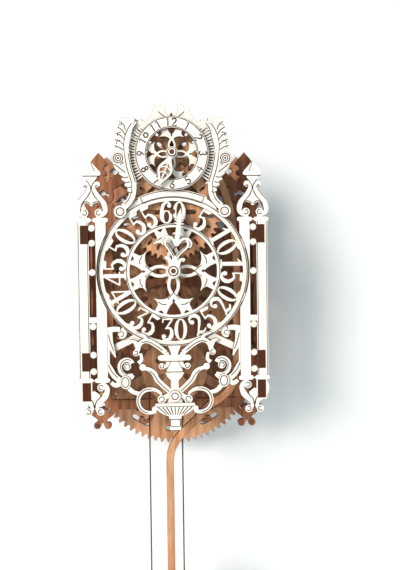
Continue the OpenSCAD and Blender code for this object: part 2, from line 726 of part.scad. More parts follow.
module panel_lines() {
    urn_lines();
    both_sides() {
        band(arc([53, -62.4], 2.4, 20, 280, 9), 0.5, 0.5);
        band(arc([47.4, -95], 2.6, -60, 230, 10), 0.5, 0.5);
        band(spiral([46.8, -94.6], 8, 6.4, -90, 120, 12), 0.45, 0.45);
        band(arc([38.4, -81.6], 1.9, 60, 330, 8), 0.5, 0.5);
        band(arc([12.9, -95.4], 1.9, 120, 400, 8), 0.5, 0.5);
        band(arc([13.4, -128.8], 2.6, 0, 300, 9), 0.5, 0.5);
        band(spline([[33, -71.4], [27, -70.4], [19.6, -73.8], [12, -79.6]]), 0.5, 0.5);
        band(spline([[25, -100], [20.6, -104], [16.4, -111], [6, -121]]), 0.5, 0.5);
        band(arc(c_scroll, 12.2, -80, 100, 12), 0.5, 0.5);
        band(spline([[65.6, -63], [63.6, -71], [60.6, -79]]), 0.5, 0.5);
        band(spline([[66, -93], [63, -99.6], [57, -106]]), 0.5, 0.5);
    }
    both_sides() {
        band([[0, -90.6], [9.6, -90.6]], 0.5, 0.5);
        band([[0, -101.4], [8.8, -101.4]], 0.6, 0.6);
    }
}

module scroll_panel() {
    color(birch_face) difference() {
        sheet(front_y, ply) difference() {
            union() {
                both_sides() scroll_half();
                vase_2d();
                urn_2d();
            }
            circle(ring_r - 20);
            both_sides() translate([col_x + strip_inner[0] - 0.1, -190]) square([60, 400]);
        }
        engraving(front_y) panel_lines();
        for (s = [-1, 1], p = panel_peg_at) side_mirror(s) rod_along(p, front_y - 1, dial_y + 1, peg_r);
    }
}

module oval(c, rx, rz) {
    translate(c) scale([rx, rz]) circle(1, $fn = 32);
}

// Raised ovals and the round boss, one layer in front of the panel
boss_t = 2;

module panel_bosses() {
    color(birch_face) difference() {
        sheet(front_y - boss_t, boss_t) {
            both_sides() oval([49.4, -110.6], 5.4, 6.8);
            dot([0, -125.6], 5.8);
        }
        engraving(front_y - boss_t) {
            both_sides() translate([49.4, -110.6]) difference() {
                oval([0, 0], 3.9, 5.2);
                oval([0, 0], 3.4, 4.7);
            }
            translate([0, -125.6]) ring(3.6, 3);
        }
    }
}

// Feathered scroll beside the hour dial
module ornament_2d() {
    band(spline([[36.6, 149.6], [43.4, 140], [46.2, 126], [43.6, 104], [39, 88], [40.8, 73.6], [48.6,
        64.4]]), 6, 7, 7);
    dot([52.2, 59.8], 6.4);
    // upper wing
    polygon(concat(bezier([36, 152.6], [42, 156], [52, 150], [54.6, 140], 6),
        bezier([54.6, 140], [58, 132], [56, 124], [52, 118], 6), [[44, 118]]));
    for (k = [0:4]) dot([47 + 1.6 * k, 148.6 - 5.4 * k], 4.6 - 0.2 * k);
    dot([53.4, 112.8], 6.2);
    // leaf
    polygon(concat(bezier([58.6, 108.6], [58, 101], [52, 96.6], [45, 97.4], 6), bezier([45, 97.4], [46,
        104], [50, 108], [58.6, 108.6], 4)));
    // lower feathers
    for (k = [0:3]) translate([46.8 - 2 * k, 96 - 5 * k]) rotate(20 - 8 * k) scale([6.4 - 0.8 * k,
        3.2]) circle(1, $fn = 20);
}

module ornament_lines() {
    difference() {
        dot([53.4, 112.8], 4.9);
        dot([53.4, 112.8], 4.3);
    }
    difference() {
        dot([53.4, 112.8], 2.9);
        dot([53.4, 112.8], 2.4);
    }
    dot([53.4, 112.8], 0.9);
    band(spline([[38.6, 148.6], [44.6, 139], [47.6, 126], [45, 104], [40.4, 88], [42, 74.6], [47.6,
        67]]), 0.5, 0.5);
    band(spline([[43.4, 118], [41, 104], [36.6, 89]]), 0.5, 0.5);
    for (k = [0:4]) band(spline([[52 + 1.4 * k, 149.4 - 6 * k], [47.6 + 1.2 * k, 146 - 5.6 * k],
        [45.6 + 0.5 * k, 140.6 - 5 * k]]), 0.7, 0.5);
    for (k = [0:2]) band(arc([50.4 + k, 144 - 8 * k], 2.4, -40, 130, 6), 0.45, 0.45);
    band(spline([[57, 107], [52.6, 103.4], [46.4, 98.6]]), 0.6, 0.6);
    for (k = [0:3]) band(spline([[53 - 2.6 * k, 96.6 - 5.6 * k], [47.6 - 2 * k, 93.4 - 5 * k],
        [43.6 - 1.4 * k, 94.4 - 5 * k]]), 0.7, 0.5);
    difference() {
        dot([52.2, 59.8], 4.2);
        dot([52.2, 59.8], 3.6);
    }
}

module ornament(s) {
    color(birch_face) side_mirror(s) difference() {
        sheet(front_y, ply) difference() {
            ornament_2d();
            translate([0, hour_rise]) circle(hour_ring_r + 0.2, $fn = 72);
        }
        engraving(front_y) ornament_lines();
        for (p = ornament_peg_at) rod_along(p, front_y - 1, front_y + ply + 1, peg_r);
    }
}

peg_r = 2;
ornament_peg_at = [[38.6, hour_rise + 31], [52.2, 59.8]];
panel_peg_at = [[53, -62.4]];

// Round pegs that hold the ornaments and the beads of the columns
module facade_pegs() {
    color(birch_dark) for (s = [-1, 1]) side_mirror(s) {
        for (p = concat(ornament_peg_at, panel_peg_at)) rod_along(p, front_y - 0.6, dial_back_y, peg_r);
        for (z = bead_z) rod_along([col_x, z], front_y - 1.4, front_y, 2.9);
    }
}

// ---- Case boards ----

// A side board in the Y-Z plane between two heights, with hooks at its front and rear edges
module side_board(x, y0, y1, rises, front_hook, rear_hook) {
    for (z = rises) translate([x, y0 - front_hook, hub_z + z - tab_h / 2])
        cube([ply, y1 - y0 + front_hook + rear_hook, tab_h]);
    translate([x + ply, y0, hub_z]) rotate([90, 0, -90]) linear_extrude(ply) offset(delta = tie)
        mirror([1, 0]) side_board_2d(y1 - y0);
}

board_top = 47;
board_bottom = -131;

module side_board_2d(w) {
    difference() {
        translate([tie, board_bottom]) square([w - 2 * tie, board_top - board_bottom]);
        for (k = [0:2]) translate([w / 2, 16 - 48 * k]) {
            scale([w / 2 - 9, 20]) circle(1, $fn = 32);
        }
    }
}

module side_front(s) {
    color(birch) side_mirror(s) side_board(side_x, dial_y, mid_y, tab_rise, ply + 0.4, ply);
}

module side_rear(s) {
    reach = sqrt(great_tip_r * great_tip_r - side_x * side_x) + 3;
    color(birch) side_mirror(s) difference() {
        side_board(side_x + ply, mid_back_y, wall_y, tab_rise, ply, ply);
        translate([side_x, great_y - 1.5, drum_z - reach]) cube([3 * ply, gear_t + 3, 2 * reach]);
    }
}

// Inner strips that close the slots beside the front hooks
module side_locks() {
    color(birch_dark) for (s = [-1, 1]) side_mirror(s) {
        for (z = tab_rise) translate([side_x + ply, front_y - 0.2, hub_z + z - tab_h / 2]) cube([ply,
            16, tab_h]);
        translate([side_x + ply, dial_y, hub_z + board_bottom]) cube([ply, 12.5, board_top - board_bottom]);
    }
}

deck_rise = 104;
deck_x = [32, 62];
deck_tab_x = [39, 55];

// Two boards between the middle plate and the wall plate, each with a tab through both
module top_deck() {
    color(birch) for (s = [-1, 1]) side_mirror(s) {
        translate([deck_x[0], mid_back_y, hub_z + deck_rise]) cube([deck_x[1] - deck_x[0],
            wall_y - mid_back_y, ply]);
        translate([deck_tab_x[0], mid_y, hub_z + deck_rise]) cube([deck_tab_x[1] - deck_tab_x[0],
            -mid_y, ply]);
    }
}

module deck_slots(y) {
    for (s = [-1, 1]) side_mirror(s) translate([deck_tab_x[0] - side_gap, y - 1,
        hub_z + deck_rise - side_gap])
        cube([deck_tab_x[1] - deck_tab_x[0] + 2 * side_gap, ply + 2, ply + 2 * side_gap]);
}

mid_raise = 22;
mid_drop = 31;
low_bar_rise = -150;

// Dowels that join the feet of the middle plate and the wall plate
foot_dowel_at = [col_x + 5.9, strip_bottom - 34 - mid_drop];
foot_dowel_r = 2.2;

module foot_dowels() {
    color(birch_dark) for (s = [-1, 1]) side_mirror(s) rod_along(foot_dowel_at, mid_y - 1, 0, foot_dowel_r);
}

module foot_holes(y) {
    for (s = [-1, 1]) side_mirror(s) rod_along(foot_dowel_at, y - 1, y + ply + 1, foot_dowel_r);
}

// Outline of a case plate: columns longer than the front ones, joined by cross members
module plate_2d(raise, drop) {
    both_sides() translate([col_x, 0]) {
        for (s = [strip_outer, strip_inner]) translate([s[0],
            strip_bottom - drop]) square([s[1] - s[0], strip_top - strip_bottom + raise + drop]);
        translate([0, raise]) finial();
        translate([0, -drop]) column_foot();
        for (z = [40, 0, -45, -90, -128]) translate([-4, z - 4]) square([8, 8]);
        for (z = tab_rise) translate([-4, z - tab_h / 2 - 5]) square([17, tab_h + 10]);
    }
    // spine with an eye at each arbor
    bar([0, -great_drop], [0, pivot_rise + 8], 13);
    for (p = [great_at, hub_at, intermediate_at, hour_at]) dot(p, 11);
    for (p = [third_at, fourth_at, escape_at]) dot(p, 9);
    bar(hub_at, third_at, 8);
    bar(third_at, fourth_at, 8);
    bar(fourth_at, escape_at, 8);
    both_sides() {
        band(spline([[0, -8], [30, -14], [52, -6], [col_x - 12, -10]], 2), 9, 9, 7);
        band(spline([[0, 46], [26, 36], [48, 42], [col_x - 12, 34]], 2), 9, 9, 7);
        band(spline([[0, deck_rise + 2], [36, deck_rise + 3], [54, deck_rise + 1], [col_x - 6,
            deck_rise - 14]], 2), 13, 9, 16);
        band(spline([[0, -great_drop], [34, -100], [56, -84], [col_x - 12, -88]], 2), 12, 9, 7);
        bar([0, low_bar_rise + 2], [col_x - 12, low_bar_rise + 2], 11);
        band(spiral([35, -162], 10, 5, 90, 330, 12), 4.4, 3.6);
        dot([37, -165], 3);
        band(spline([[6, -108], [20, -128], [20, low_bar_rise]], 2), 8, 7);
    }
}

module wall_plate() {
    color(birch) difference() {
        sheet(wall_y, ply) {
            plate_2d(mid_raise + 10, mid_drop);
            circle(ring_r + 3, $fn = 72);
            translate(great_at) circle(great_tip_r - 14, $fn = 72);
            translate(hour_at) circle(hour_ring_r - 2, $fn = 48);
            bar([0, pivot_rise], [0, nail_rise + 2], 26);
            both_sides() bar([0, nail_rise + 4], [col_x - 8, 96], 10);
        }
        rod_along([0, nail_rise], wall_y - 1, 1, nail_r);
        hook_slots(wall_y, ply, side_x + ply, side_x + 2 * ply);
        mirror([1, 0, 0]) hook_slots(wall_y, ply, side_x + ply, side_x + 2 * ply);
        deck_slots(wall_y);
        foot_holes(wall_y);
        for (p = [hub_at, third_at, fourth_at, escape_at, pivot_at]) bearing_hole(p, wall_y, ply);
        bearing_hole(great_at, wall_y, ply, great_arbor_r);
    }
}

module mid_plate() {
    color(birch) difference() {
        sheet(mid_y, ply) {
            plate_2d(mid_raise, mid_drop);
            bar([0, -great_drop], [cord_right_x, post_z - hub_z], 12);
        }
        hook_slots(mid_y, ply, side_x, side_x + 2 * ply);
        mirror([1, 0, 0]) hook_slots(mid_y, ply, side_x, side_x + 2 * ply);
        deck_slots(mid_y);
        foot_holes(mid_y);
        for (p = [hub_at, third_at, fourth_at, escape_at, pivot_at, intermediate_at,
            hour_at]) bearing_hole(p, mid_y, ply);
        bearing_hole(great_at, mid_y, ply, great_arbor_r);
        rod_along([cord_right_x, post_z - hub_z], mid_y - 1, mid_back_y + 1, post_r);
    }
}

// The post that holds the standing end of the cord
module cord_post() {
    color(birch_dark) {
        rod_along([cord_right_x, post_z - hub_z], cord_y - 3, mid_back_y, post_r);
        rod_along([cord_right_x, post_z - hub_z], cord_y - 4.4, cord_y - 3, post_r + 1.4);
    }
}

// ---- Great wheel and drum ----

module great_arbor() {
    color(birch_dark) {
        rod_along(great_at, flange_front_y - 3, 0, great_arbor_r);
        rod_along(great_at, flange_front_y - 7, flange_front_y - washer / 2, great_arbor_r + 3);
    }
}

module great_wheel() {
    color(birch) {
        gear_body(great_at, great_y, gear_t, great_arbor_r) difference() {
            wheel_teeth(great_n, great_module, 0);
            spoke_windows(26, 62, 6, 11, 30);
            rim_slots(80, 12, 17, 5.5, 0);
            ray_slots(66, 73, 24, 2.6, 7.5);
        }
        rod_along(click_at, ratchet_y - 0.8, great_y + gear_t / 2, click_pin_r);
    }
}

module drum() {
    color(birch) gear_body(great_at, drum_y, drum_w, great_arbor_r) circle(drum_r, $fn = 64);
}

module flange(y) {
    color(birch) gear_body(great_at, y, flange_t, great_arbor_r) difference() {
        circle(flange_r, $fn = 64);
        ray_slots(12, 23, 6, 6, 30);
    }
}

// The turns of cord that lie on the drum
module drum_cord() {
    pitch = cord_d + 0.15;
    turns = floor((cord_y - drum_y - cord_d) / pitch);
    color("DimGray") translate([0, 0, drum_z]) for (k = [1:turns])
        translate([0, cord_y - k * pitch, 0]) rotate([90, 0, 0])
            rotate_extrude($fn = 48) translate([cord_run_r, 0]) circle(cord_d / 2 - tie, $fn = 12);
}

ratchet_n = 12;

module ratchet_wheel() {
    color(birch_dark) gear_body(great_at, ratchet_y, gear_t, great_arbor_r)
        rotate(click_turn) polygon([for (k = [0:ratchet_n - 1], p = [[ratchet_r, 0], [ratchet_r - 4.4,
            2.4], [ratchet_r - 2.2, 16]])
            polar(p[0], k * 360 / ratchet_n + p[1])]);
}

// The click's pin stands on a spoke of the great wheel
click_turn = 12;
click_pin = polar(ratchet_r + 10, 138);
click_at = great_at + polar(ratchet_r + 10, 138 + click_turn);
click_pin_r = 1.5;

// The pawl that rests in the ratchet, on its pin through the great wheel
module click() {
    tip = polar(ratchet_r - 2.8, 95.6);
    color(birch_dark) difference() {
        gear_body(great_at, ratchet_y, gear_t, 1) rotate(click_turn) {
            dot(click_pin, 4.6);
            band(spline([click_pin, click_pin + [9, 3.6], tip + [-4.6, 4.4], tip]), 6, 1.4, 4.2);
        }
        rod_along(click_at, ratchet_y - 1, ratchet_y + gear_t + 1, click_pin_r + arbor_fit);
    }
}

// ---- Centre arbor ----

hand_y = front_y - 7;
minute_t = 3;

module centre_arbor() {
    color(birch_dark) rod_along(hub_at, hand_y - 1, 0, arbor_r);
}

module centre_pinion() {
    color(birch) gear_body(hub_at, great_y - gear_t, 3 * gear_t, arbor_r) leaf_teeth(leaf_n,
        great_module, centre_leaf_phase);
}

module centre_wheel() {
    color(birch) gear_body(hub_at, centre_wheel_y, gear_t, arbor_r) difference() {
        wheel_teeth(centre_n, train_module, 0);
        ray_slots(10, 18.4, 6, 3.4);
        ray_slots(20.6, 28.6, 12, 2.6, 15);
    }
}

module motion_pinion() {
    color(birch) gear_body(hub_at, motion_pinion_y, leaf_w, arbor_r) leaf_teeth(motion_n, train_module, 0);
}

minute_tilt = -7.2;

module minute_outline() {
    circle(6.8);
    both_sides() {
        // collar curls
        band(spline([[3.4, 5], [5.4, 11.4], [9.6, 12.6], [8, 9.8]]), 4.4, 0.8, 3);
        // heart
        band(spline([[0, 12], [5, 19], [10.4, 25], [11.4, 29.4], [9, 31.4]]), 3.2, 2.4, 3);
        band(spline([[9.8, 26.4], [13.6, 25.2], [14.6, 29.4], [11.2, 33], [5.6, 32.4], [0, 26]]), 1,
            2.6, 2.2);
        // V that carries the spear
        band(spline([[0, 25.4], [3.4, 29], [5.6, 34.4]]), 3, 0.8);
        // candle and its drips
        band([[1.2, 28], [1, 52.6]], 2.6, 2.2);
        band(spline([[1, 36], [3.6, 37.6], [4.8, 35.4]]), 2, 0.8);
        bar([0, 47.4], [4.4, 47.4], 1.5);
        bar([0, 50], [3.4, 50], 1.4);
        bar([0, 52.4], [4.2, 52.4], 1.5);
        polygon(concat([[0, 52]], bezier([2.2, 52.6], [3.4, 56], [0.8, 59], [0, 63.4], 6)));
    }
    band([[0, 6], [0, 14]], 7, 5);
}

module minute_hand() {
    color(birch_face) difference() {
        gear_body(hub_at, hand_y, minute_t, arbor_r) rotate(minute_tilt) minute_outline();
        engraving(hand_y) rotate(minute_tilt) {
            ring(4.9, 4.3);
            both_sides() band(spline([[1.2, 14.4], [5.2, 20], [9.6, 25.6], [9.6, 29]]), 0.5, 0.5);
        }
    }
}

// A dark washer on the end of the arbor, in front of the hand
module cap(at, y) {
    difference() {
        rod_along(at, y - 2, y - 0.02, 3.6);
        rod_along(at, y - 3, y + 1, arbor_r);
    }
}

module minute_cap() {
    color("SaddleBrown") cap(hub_at, hand_y);
}

// ---- Motion work ----

module intermediate_arbor() {
    color(birch_dark) {
        rod_along(intermediate_at, dial_y, mid_back_y, arbor_r);
        gear_body(intermediate_at, motion_leaf_y, leaf_w, arbor_r - 0.5) leaf_teeth(motion_leaf_n,
            hour_module, 0);
    }
}

module intermediate_wheel() {
    color(birch) gear_body(intermediate_at, intermediate_y, gear_t, arbor_r) difference() {
        wheel_teeth(intermediate_n, train_module, intermediate_phase);
        ray_slots(11, 24, 8, 4.4, 0);
        rim_slots(31, 12, 10, 3.4, 15);
        ray_slots(35, 41.6, 24, 2.4, 7.5);
    }
}

hour_hand_y = front_y - 6;
hour_t = 3;
hour_tilt = 158.5;

module hour_arbor() {
    color(birch_dark) rod_along(hour_at, hour_hand_y - 1, mid_back_y, arbor_r);
}

module hour_wheel() {
    color(birch) gear_body(hour_at, hour_wheel_y, gear_t, arbor_r) difference() {
        wheel_teeth(hour_n, hour_module, hour_phase);
        ray_slots(10, 21, 8, 4, 0);
        ray_slots(25, 35, 16, 3, 11.25);
    }
}

module hour_outline() {
    circle(5.6);
    difference() {
        both_sides() polygon(concat([[0, 4], [2, 4]], bezier([2, 5], [3, 12], [9.4, 15], [7, 22], 8),
            bezier([7, 22], [5, 28], [1.2, 31], [0, 37.4], 8)));
        both_sides() polygon(concat([[0.6, 12]], bezier([0.6, 12], [3, 15], [6.4, 17], [4.6, 21.6], 6),
            bezier([4.6, 21.6], [3.6, 24.6], [1, 27], [0.6, 30], 5)));
    }
    bar([0, 12], [0, 30], 1.4);
    both_sides() {
        bar([0, 14.6], [4.6, 17.6], 1.2);
        bar([0, 20], [4.2, 23], 1.2);
    }
}

module hour_hand() {
    color(birch_face) difference() {
        gear_body(hour_at, hour_hand_y, hour_t, arbor_r) rotate(hour_tilt) hour_outline();
        engraving(hour_hand_y) translate(hour_at) ring(4.4, 3.9);
    }
}

module hour_cap() {
    color("SaddleBrown") cap(hour_at, hour_hand_y);
}

// ---- Going train ----

// An arbor with its pinion, from the middle plate to the wall plate
module leaf_arbor(at, y, phase) {
    color(birch_dark) {
        rod_along(at, mid_y, 0, arbor_r);
        gear_body(at, y, leaf_w, arbor_r - 0.5) leaf_teeth(leaf_n, train_module, phase);
    }
}

module third_arbor() {
    leaf_arbor(third_at, centre_wheel_y - gear_t / 2, third_leaf_phase);
}

module train_wheel(at, y, n, phase) {
    color(birch) gear_body(at, y, gear_t, arbor_r) difference() {
        wheel_teeth(n, train_module, phase);
        ray_slots(10, 19, 6, 4);
        ray_slots(22, 30, 12, 2.8, 15);
    }
}

module third_wheel() {
    train_wheel(third_at, third_wheel_y, third_n, 0);
}

module fourth_arbor() {
    leaf_arbor(fourth_at, third_wheel_y - gear_t / 2, fourth_leaf_phase);
}

module fourth_wheel() {
    train_wheel(fourth_at, fourth_wheel_y, fourth_n, 0);
}

module escape_arbor() {
    leaf_arbor(escape_at, fourth_wheel_y - gear_t / 2, escape_leaf_phase);
}

module escape_wheel() {
    color(birch) gear_body(escape_at, escape_y, gear_t, arbor_r) difference() {
        polygon([for (k = [0:escape_n - 1], p = [[escape_r, 0], [escape_r - 4.4, 2.6], [escape_r - 4.6, 8]])
            polar(p[0], k * 360 / escape_n + p[1])]);
        spoke_windows(6.5, 15.4, 5, 3.6);
    }
}

// ---- Pendulum ----

module pendulum_arbor() {
    color(birch_dark) rod_along(pivot_at, rod_y - 2, 0, arbor_r);
}

pallet_gap = 1.9;       // gap between a resting pallet and the tips of the escape wheel
pallet_a = 45;

module anchor() {
    color(birch) gear_body(pivot_at, escape_y, gear_t, arbor_r) {
        circle(8);
        both_sides() {
            reach = escape_r + pallet_gap;
            foot = [0, -anchor_gap] + polar(reach, 90 - pallet_a);
            band(spline([[0, 1], [13, 0.4], foot + [5.4, 6.6], foot + [2.4, 2.6]]), 9, 5, 7);
            polygon([foot, foot + polar(6, 90 - pallet_a + 62), foot + polar(8.4, 90 - pallet_a + 20),
                foot + polar(5.6, 90 - pallet_a - 24)]);
        }
    }
}

// The rod leaves the pivot to the right, passes round the drum and comes back to the middle
rod_path = [[0, pivot_rise], [24, 120], [50, 94], [63, 50], [66.6, 0], [66.4, -60], [64.4, -104], [60,
    -122],
    [50, -133], [36, -142], [22, -157], [8, -170], [-1.4, -182], [-5.4, -194], [rod_low_x, -208]];

module pendulum_rod() {
    low = bob_z - hub_z;
    color(birch) difference() {
        sheet(rod_y, rod_t) {
            band(spline(rod_path), rod_w, rod_w, rod_w);
            translate([rod_low_x - rod_w / 2, low + bob_r - 4]) square([rod_w,
                -208.01 - low - bob_r + 4.1]);
            translate([rod_low_x - 2.5, low - bob_r - 22]) square([5, 2 * bob_r + 20]);
            dot(pivot_at, 8.6);
        }
        rod_along(pivot_at, rod_y - 1, rod_y + rod_t + 1, arbor_r);
    }
}

module bob() {
    low = [rod_low_x, bob_z - hub_z];
    color(birch_dark) difference() {
        rod_along(low, rod_y + rod_t / 2 - bob_t / 2, rod_y + rod_t / 2 + bob_t / 2, bob_r);
        translate([rod_low_x - 2.5 - rod_fit, rod_y - rod_fit,
            bob_z - bob_r - 1]) cube([5 + 2 * rod_fit, rod_t + 2 * rod_fit, 2 * bob_r - 5]);
        translate([rod_low_x - rod_w / 2 - rod_fit, rod_y - rod_fit,
            bob_z + bob_r - 6]) cube([rod_w + 2 * rod_fit, rod_t + 2 * rod_fit, 8]);
    }
}

bob_face_t = 3;

// Openwork rosette on the front of the bob, like the main dial's
module bob_face() {
    low = [rod_low_x, bob_z - hub_z];
    color(birch_face) sheet(rod_y + rod_t / 2 - bob_t / 2 - bob_face_t, bob_face_t) translate(low) {
        ring(bob_r, bob_r - 3.6);
        for (k = [0:3]) rotate(90 * k) scale(0.62 * bob_r / 32) tulip_arm();
        circle(5.4);
        for (k = [0:11]) rotate(30 * k) dot([bob_r - 4.2, 0], 1.6);
    }
}

// Rating nut under the bob
module bob_nut() {
    color(birch_dark) translate([rod_low_x, rod_y + rod_t / 2, bob_z - bob_r - 9]) difference() {
        cylinder(h = 7, r = 9);
        translate([-2.6, -rod_t / 2 - rod_fit, -1]) cube([5.2, rod_t + 2 * rod_fit, 9]);
        for (k = [0:11]) rotate(30 * k) translate([9.6, 0, -1]) cylinder(h = 9, r = 1.5);
    }
}

// ---- Weight ----

pin_r = 2;

module sheave() {
    color(birch) translate([sheave_x, cord_y, sheave_z]) rotate([90, 0,
        0]) rotate_extrude($fn = 64) difference() {
        translate([pin_r + arbor_fit,
            -sheave_w / 2]) square([sheave_r + sheave_rim - pin_r - arbor_fit, sheave_w]);
        translate([sheave_run_r + 0.4, 0]) circle(cord_d / 2 + 0.5, $fn = 24);
        translate([sheave_run_r + 0.4, -cord_d / 2 - 0.5]) square([sheave_rim + 2, cord_d + 1]);
    }
}

// Two cheeks, the axle between them and the plate on the weight's lid
module pulley_strap() {
    half = sheave_w / 2 + 0.6;
    color(birch_dark) {
        for (y = [cord_y - half - strap_t, cord_y + half]) translate([sheave_x, y + strap_t,
            sheave_z]) rotate([90, 0, 0])
            linear_extrude(strap_t) offset(delta = tie) {
                circle(8);
                translate([-8, 2 * tie - strap_drop]) square([16, strap_drop]);
            }
        translate([sheave_x, cord_y + half + strap_t + 1, sheave_z]) rotate([90, 0,
            0]) cylinder(h = 2 * (half + strap_t + 1), r = pin_r);
        translate([sheave_x - 8, cord_y - half - tie, weight_top_z]) cube([16, 2 * half + 2 * tie, 4]);
    }
}

module weight_can() {
    color(birch) translate([sheave_x, cord_y, weight_top_z - weight_h]) difference() {
        union() {
            cylinder(h = weight_h, r = weight_r, $fn = 64);
            for (z = [0, weight_h - 4]) translate([0, 0, z]) cylinder(h = 4, r = weight_r + 2.5, $fn = 64);
        }
        translate([0, 0, weight_wall]) cylinder(h = weight_h - 2 * weight_wall,
            r = weight_r - weight_wall, $fn = 64);
    }
}

module weight_fill() {
    color("DimGray") translate([sheave_x, cord_y, weight_top_z - weight_h + weight_wall])
        cylinder(h = (weight_h - 2 * weight_wall) * 0.7, r = weight_r - weight_wall, $fn = 64);
}

// ---- Cord ----

module cord_fall(x, top, low) {
    color("DimGray") translate([x, cord_y, low]) cylinder(h = top - low, r = cord_d / 2, $fn = 16);
}

module cord_left() {
    cord_fall(cord_left_x, drum_z, sheave_z);
}

module cord_right() {
    cord_fall(cord_right_x, post_z - post_r, sheave_z);
}

module cord_loop() {
    color("DimGray") translate([sheave_x, cord_y, sheave_z]) rotate([90, 0, 0]) rotate([0, 0, 180])
        rotate_extrude(angle = 180, $fn = 48) translate([sheave_run_r, 0]) circle(cord_d / 2, $fn = 16);
}

wall_plate();
mid_plate();
dial_plate();
hour_dial();
column(-1);  // column_left
column(1);  // column_right
scroll_panel();
panel_bosses();
ornament(-1);  // ornament_left
ornament(1);  // ornament_right
facade_pegs();
side_front(-1);  // side_front_left
side_front(1);  // side_front_right
side_locks();
side_rear(-1);  // side_rear_left
side_rear(1);  // side_rear_right
top_deck();
foot_dowels();
cord_post();
great_arbor();
great_wheel();
drum();
flange(flange_front_y);  // drum_flange_front
flange(flange_rear_y);  // drum_flange_rear
drum_cord();
ratchet_wheel();
click();
centre_arbor();
centre_pinion();
centre_wheel();
motion_pinion();
minute_hand();
minute_cap();
intermediate_arbor();
intermediate_wheel();
hour_arbor();
hour_wheel();
hour_hand();
hour_cap();
third_arbor();
third_wheel();
fourth_arbor();
fourth_wheel();
escape_arbor();
escape_wheel();
pendulum_arbor();
anchor();
pendulum_rod();
bob();
bob_face();
bob_nut();
sheave();
pulley_strap();
weight_can();
weight_fill();
cord_left();
cord_right();
cord_loop();
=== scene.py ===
import json
import math

import bmesh
import bpy
from mathutils import Matrix, Vector


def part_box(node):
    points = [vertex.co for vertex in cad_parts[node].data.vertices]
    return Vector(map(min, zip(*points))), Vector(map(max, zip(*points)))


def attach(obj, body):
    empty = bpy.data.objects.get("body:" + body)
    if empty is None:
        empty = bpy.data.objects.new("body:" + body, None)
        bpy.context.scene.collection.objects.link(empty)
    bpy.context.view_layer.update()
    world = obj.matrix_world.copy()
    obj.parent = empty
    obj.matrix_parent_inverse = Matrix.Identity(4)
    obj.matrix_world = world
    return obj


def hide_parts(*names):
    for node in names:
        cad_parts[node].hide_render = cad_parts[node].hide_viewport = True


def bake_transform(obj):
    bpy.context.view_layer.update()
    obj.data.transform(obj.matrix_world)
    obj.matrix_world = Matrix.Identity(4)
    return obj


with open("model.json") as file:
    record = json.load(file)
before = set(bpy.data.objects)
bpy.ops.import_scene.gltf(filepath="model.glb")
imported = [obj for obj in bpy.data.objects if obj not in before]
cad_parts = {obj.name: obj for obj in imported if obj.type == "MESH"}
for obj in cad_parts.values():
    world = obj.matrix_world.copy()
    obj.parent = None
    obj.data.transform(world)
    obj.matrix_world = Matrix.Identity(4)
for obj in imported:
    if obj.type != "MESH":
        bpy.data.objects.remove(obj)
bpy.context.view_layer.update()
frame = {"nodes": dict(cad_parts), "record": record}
nodes = frame["nodes"]
record = frame["record"]
slots = {s["node"]: s["material_slot"] for s in record["subparts"]}
print("loaded", len(nodes), "nodes")

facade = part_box("hour_dial")[0].y
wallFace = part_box("wall_plate")[1].y
hub = (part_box("minute_cap")[0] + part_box("minute_cap")[1]) / 2

# Camera
view = {
    "distance": 0.6017,
    "x": -0.0026,
    "z": -0.1502,
    "turn": 2.77,
    "tilt": 1.34,
    "roll": 0.72,
    "lens": 37.9,
    "sensor": 36,
}
camera = bpy.data.objects.new("camera", bpy.data.cameras.new("camera"))
bpy.context.scene.collection.objects.link(camera)
camera.data.sensor_fit = "VERTICAL"
camera.data.sensor_height = view["sensor"]
camera.data.lens = view["lens"]
camera.data.clip_start = 0.01
camera.location = (view["x"], facade - view["distance"], view["z"])
camera.matrix_world = (
    Matrix.Translation(camera.location)
    @ Matrix.Rotation(-math.radians(view["turn"]), 4, "Z")
    @ Matrix.Rotation(math.radians(90 - view["tilt"]), 4, "X")
    @ Matrix.Rotation(-math.radians(view["roll"]), 4, "Z")
)
bpy.context.scene.camera = camera
bpy.context.scene.view_settings.view_transform = "Standard"
print("camera set")


# Shader helpers
# Adds a shader node; a value may be a constant or another node's output
def node(tree, kind, **values):
    made = tree.nodes.new(kind)
    for key, value in values.items():
        name = key.rstrip("_")
        if hasattr(made, name) and not key.endswith("_"):
            setattr(made, name, value)
            continue
        place = int(name[1:]) if name[1:].isdigit() else name.replace("_", " ")
        socket = made.inputs[place]
        if isinstance(value, bpy.types.NodeSocket):
            tree.links.new(value, socket)
        else:
            socket.default_value = value
    return made


def math_(tree, operation, a, b=None, clamp=False):
    values = {"i0_": a} if b is None else {"i0_": a, "i1_": b}
    return node(tree, "ShaderNodeMath", operation=operation, use_clamp=clamp, **values).outputs[0]


def times(tree, a, b):
    return math_(tree, "MULTIPLY", a, b)


def remap(tree, value, low, high, toLow=0.0, toHigh=1.0):
    return node(tree, "ShaderNodeMapRange", interpolation_type="SMOOTHSTEP",
        i0_=value, i1_=low, i2_=high, i3_=toLow, i4_=toHigh).outputs[0]


def noise(tree, vector, scale, detail, **values):
    return node(tree, "ShaderNodeTexNoise", Vector=vector, Scale=scale, Detail=detail,
        **values).outputs["Fac"]


def mix(tree, factor, a, b, blend="MIX"):
    return node(tree, "ShaderNodeMix", data_type="RGBA", blend_type=blend,
        i0_=factor, i6_=a, i7_=b).outputs[2]


def stretched(tree, vector, scale):
    return node(tree, "ShaderNodeVectorMath", operation="MULTIPLY", i0_=vector, i1_=scale).outputs[0]


def along(tree, vector, direction):
    return node(tree, "ShaderNodeVectorMath", operation="DOT_PRODUCT",
        i0_=vector, i1_=direction).outputs["Value"]


